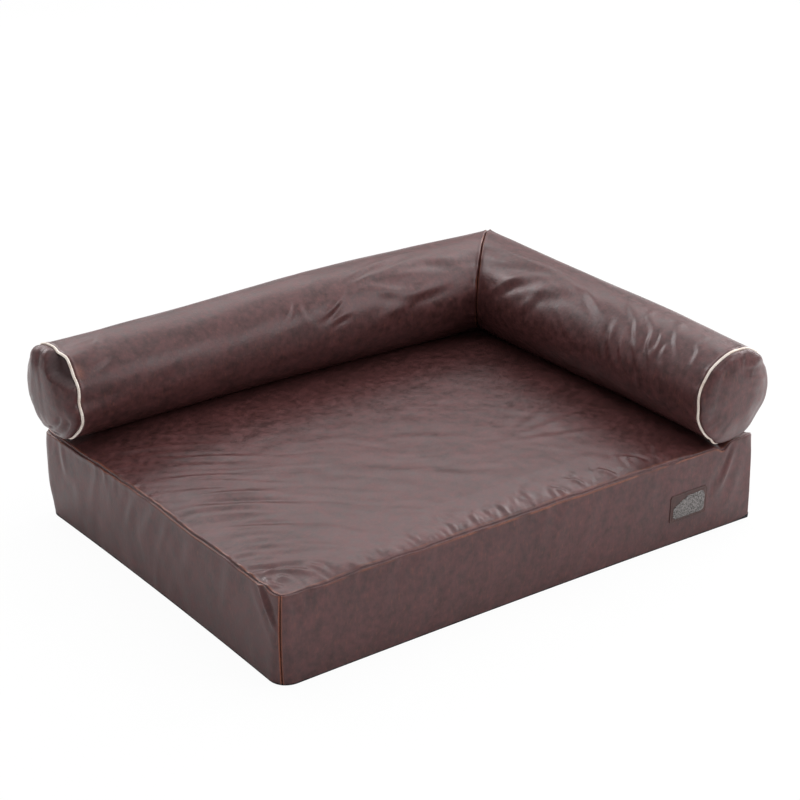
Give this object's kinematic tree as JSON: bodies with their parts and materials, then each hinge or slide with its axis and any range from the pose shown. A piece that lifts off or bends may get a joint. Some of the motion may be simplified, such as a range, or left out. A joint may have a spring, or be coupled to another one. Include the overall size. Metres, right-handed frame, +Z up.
{
  "type": "pet sofa",
  "caption": "Corner pet sofa: a boxed foam slab in a leather-look cover with an L-shaped round bolster along its back and right edge.",
  "frame": {"origin": "centre of the base's flat underside, on the surface it stands on", "axes": "+X along the long front towards the arm roll, +Y towards the back roll, +Z up"},
  "size_m": [1.0661, 0.7975, 0.3555],
  "materials": {
    "brown_leather_look": "pull-up faux leather, satin",
    "label_leather": "matt faux leather",
    "pale_piping": "satin piping strip",
    "piping_cord": "twisted cotton",
    "black_sole": "coated woven",
    "foam": "open-cell foam",
    "wadding": "polyester wadding",
    "fibre_filling": "polyester fibre",
    "hook_and_loop": "nylon pile",
    "zip_tape": "woven polyester",
    "zip_coil": "nylon coil",
    "zip_metal": "dark lacquered zinc",
    "label_metal": "hammered, antiqued"
  },
  "bodies": {
    "base": {"seat_panel": "brown_leather_look", "front_border": "brown_leather_look", "left_border": "brown_leather_look", "right_border": "brown_leather_look", "back_border_upper": "brown_leather_look", "back_border_lower": "brown_leather_look", "anti_slip_sole": "black_sole", "foam_core": "foam", "wadding_layer": "wadding", "label_patch": "label_leather", "label_plate": "label_metal", "back_loop_strip": "hook_and_loop", "arm_loop_strip": "hook_and_loop", "base_zip_tape_upper": "zip_tape", "base_zip_tape_lower": "zip_tape", "base_zip_coils": "zip_coil", "base_zip_stops": "zip_metal"},
    "bolster": {"back_roll_cover": "brown_leather_look", "arm_roll_cover": "brown_leather_look", "back_roll_cap": "brown_leather_look", "arm_roll_cap": "brown_leather_look", "back_roll_piping": "pale_piping", "arm_roll_piping": "pale_piping", "back_roll_piping_cord": "piping_cord", "arm_roll_piping_cord": "piping_cord", "back_roll_filling": "fibre_filling", "arm_roll_filling": "fibre_filling", "back_hook_strip": "hook_and_loop", "arm_hook_strip": "hook_and_loop", "bolster_zip_tape_upper": "zip_tape", "bolster_zip_tape_lower": "zip_tape", "bolster_zip_coils": "zip_coil", "bolster_zip_stops": "zip_metal"},
    "base_zip_slider": {"base_zip_slider": "zip_metal"},
    "base_zip_puller": {"base_zip_puller": "zip_metal"},
    "bolster_zip_slider": {"bolster_zip_slider": "zip_metal"},
    "bolster_zip_puller": {"bolster_zip_puller": "zip_metal"}
  },
  "joints": [
    {"name": "bolster_lift", "type": "slide", "parent": "base", "child": "bolster", "axis": [0, 0, 1], "range_m": [0, 0.25]},
    {"name": "base_zip_slide", "type": "slide", "parent": "base", "child": "base_zip_slider", "axis": [1, 0, 0], "range_m": [0, 0.81], "deforming": ["base_zip_coils"]},
    {"name": "base_zip_pull", "type": "hinge", "parent": "base_zip_slider", "child": "base_zip_puller", "pos_m": [-0.4073, 0.3769, 0.08], "axis": [0, 0, 1], "range_deg": [0, 170]},
    {"name": "bolster_zip_slide", "type": "slide", "parent": "bolster", "child": "bolster_zip_slider", "axis": [1, 0, 0], "range_m": [0, 0.55], "deforming": ["bolster_zip_coils"]},
    {"name": "bolster_zip_pull", "type": "hinge", "parent": "bolster_zip_slider", "child": "bolster_zip_puller", "pos_m": [-0.3173, 0.38034, 0.20602], "axis": [0, 0.5736, 0.8192], "range_deg": [0, 170]}
  ]
}
